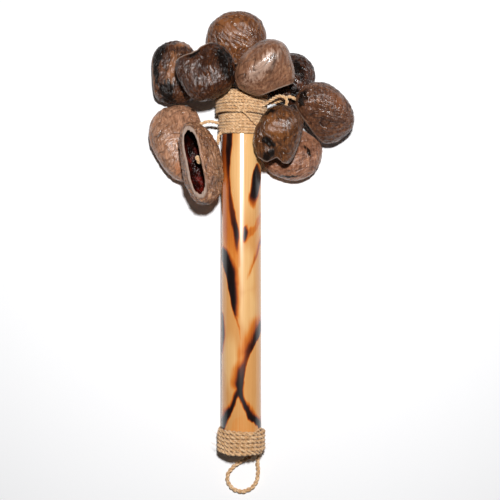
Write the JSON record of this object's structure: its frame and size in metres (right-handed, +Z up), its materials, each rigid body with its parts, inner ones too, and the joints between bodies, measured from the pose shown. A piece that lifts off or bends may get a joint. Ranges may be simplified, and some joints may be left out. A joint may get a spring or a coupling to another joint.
{
  "type": "nut-shell shaker rattle",
  "caption": "Hand shaker with a scorched bamboo handle, hollow nut shells tied to its head on twine tethers, and a hanging loop at its tail.",
  "frame": {"origin": "centre of the bare grip, on the bamboo culm's axis", "axes": "+Y runs along the culm toward the head with the shells; +Z is up, away from the surface that the shaker lies on; +X completes the right-handed frame"},
  "size_m": [0.1542, 0.3665, 0.0642],
  "materials": {
    "bamboo": "scorched, satin",
    "lashing_twine": "natural plant fibre, matt",
    "tether_twine": "natural plant fibre, matt",
    "nut_shell": "wrinkled, waxy"
  },
  "bodies": {
    "handle": {"culm": "bamboo", "neck_lashing": "lashing_twine", "head_lashing": "lashing_twine", "tail_lashing": "lashing_twine", "hanging_loop": "tether_twine"},
    "tether_crown": {"tether_crown": "tether_twine", "knot_crown": "tether_twine"},
    "shell_crown": {"shell_crown": "nut_shell"},
    "tether_shoulder_left": {"tether_shoulder_left": "tether_twine", "knot_shoulder_left": "tether_twine"},
    "shell_shoulder_left": {"shell_shoulder_left": "nut_shell"},
    "tether_shoulder_right": {"tether_shoulder_right": "tether_twine", "knot_shoulder_right": "tether_twine"},
    "shell_shoulder_right": {"shell_shoulder_right": "nut_shell"},
    "tether_left": {"tether_left": "tether_twine", "knot_left": "tether_twine"},
    "shell_left": {"shell_left": "nut_shell"},
    "tether_low_left": {"tether_low_left": "tether_twine", "knot_low_left": "tether_twine"},
    "shell_low_left": {"shell_low_left": "nut_shell"},
    "tether_open": {"tether_open": "tether_twine", "knot_open": "tether_twine"},
    "shell_open": {"shell_open": "nut_shell"},
    "tether_back_right": {"tether_back_right": "tether_twine", "knot_back_right": "tether_twine"},
    "shell_back_right": {"shell_back_right": "nut_shell"},
    "tether_right": {"tether_right": "tether_twine", "knot_right": "tether_twine"},
    "shell_right": {"shell_right": "nut_shell"},
    "tether_collar": {"tether_collar": "tether_twine", "knot_collar": "tether_twine"},
    "shell_collar": {"shell_collar": "nut_shell"},
    "tether_low_right": {"tether_low_right": "tether_twine", "knot_low_right": "tether_twine"},
    "shell_low_right": {"shell_low_right": "nut_shell"}
  },
  "joints": [
    {"name": "swing_crown", "type": "hinge", "parent": "handle", "child": "tether_crown", "pos_m": [-0.005, 0.1425, -0.013], "axis": [-1, 0, 0], "range_deg": [0, 40]},
    {"name": "rock_crown", "type": "hinge", "parent": "tether_crown", "child": "shell_crown", "pos_m": [-0.02331, 0.16894, -0.00688], "axis": [-1, 0, 0], "range_deg": [0, 20]},
    {"name": "swing_shoulder_left", "type": "hinge", "parent": "handle", "child": "tether_shoulder_left", "pos_m": [-0.008, 0.1425, 0.009], "axis": [0, 0, 1], "range_deg": [0, 30]},
    {"name": "rock_shoulder_left", "type": "hinge", "parent": "tether_shoulder_left", "child": "shell_shoulder_left", "pos_m": [-0.0234, 0.15647, 0.01458], "axis": [0, 0, -1], "range_deg": [0, 20]},
    {"name": "swing_shoulder_right", "type": "hinge", "parent": "handle", "child": "tether_shoulder_right", "pos_m": [0.007, 0.1425, 0.009], "axis": [0, 0.7071, 0.7071], "range_deg": [0, 40]},
    {"name": "rock_shoulder_right", "type": "hinge", "parent": "tether_shoulder_right", "child": "shell_shoulder_right", "pos_m": [0.01772, 0.15286, 0.01749], "axis": [-0.7071, 0.7071, 0], "range_deg": [0, 20]},
    {"name": "swing_left", "type": "hinge", "parent": "handle", "child": "tether_left", "pos_m": [-0.013, 0.1425, 0.002], "axis": [1, 0, 0], "range_deg": [0, 25]},
    {"name": "rock_left", "type": "hinge", "parent": "tether_left", "child": "shell_left", "pos_m": [-0.03, 0.15546, -0.00656], "axis": [-1, 0, 0], "range_deg": [0, 20]},
    {"name": "swing_low_left", "type": "hinge", "parent": "handle", "child": "tether_low_left", "pos_m": [-0.0187, 0.118, 0.003], "axis": [0.5774, -0.5774, 0.5774], "range_deg": [0, 40]},
    {"name": "rock_low_left", "type": "hinge", "parent": "tether_low_left", "child": "shell_low_left", "pos_m": [-0.03906, 0.10953, 0.00258], "axis": [0, -0.7071, -0.7071], "range_deg": [0, 10]},
    {"name": "swing_open", "type": "hinge", "parent": "handle", "child": "tether_open", "pos_m": [-0.0155, 0.1094, 0.007], "axis": [0, 1, 0], "range_deg": [0, 25]},
    {"name": "rock_open", "type": "hinge", "parent": "tether_open", "child": "shell_open", "pos_m": [-0.0195, 0.09949, 0.01261], "axis": [-0.7071, 0, 0.7071], "range_deg": [0, 20]},
    {"name": "swing_back_right", "type": "hinge", "parent": "handle", "child": "tether_back_right", "pos_m": [0.011, 0.1425, -0.002], "axis": [-0.7071, 0, 0.7071], "range_deg": [0, 40]},
    {"name": "rock_back_right", "type": "hinge", "parent": "tether_back_right", "child": "shell_back_right", "pos_m": [0.02854, 0.1518, 0.00218], "axis": [0.7071, 0, -0.7071], "range_deg": [0, 20]},
    {"name": "swing_right", "type": "hinge", "parent": "handle", "child": "tether_right", "pos_m": [0.0198, 0.132, 0.005], "axis": [-0.7071, -0.7071, 0], "range_deg": [0, 25]},
    {"name": "rock_right", "type": "hinge", "parent": "tether_right", "child": "shell_right", "pos_m": [0.04072, 0.13412, 0.01067], "axis": [0.7071, -0.7071, 0], "range_deg": [0, 20]},
    {"name": "swing_collar", "type": "hinge", "parent": "handle", "child": "tether_collar", "pos_m": [0.0165, 0.13, 0.013], "axis": [-0.5774, -0.5774, -0.5774], "range_deg": [0, 40]},
    {"name": "rock_collar", "type": "hinge", "parent": "tether_collar", "child": "shell_collar", "pos_m": [0.03233, 0.12614, 0.0235], "axis": [-0.7071, -0.7071, 0], "range_deg": [0, 20]},
    {"name": "swing_low_right", "type": "hinge", "parent": "handle", "child": "tether_low_right", "pos_m": [0.0177, 0.12, 0.007], "axis": [1, 0, 0], "range_deg": [0, 30]},
    {"name": "rock_low_right", "type": "hinge", "parent": "tether_low_right", "child": "shell_low_right", "pos_m": [0.02597, 0.11431, -0.0092], "axis": [0.5774, 0.5774, 0.5774], "range_deg": [0, 20]}
  ]
}
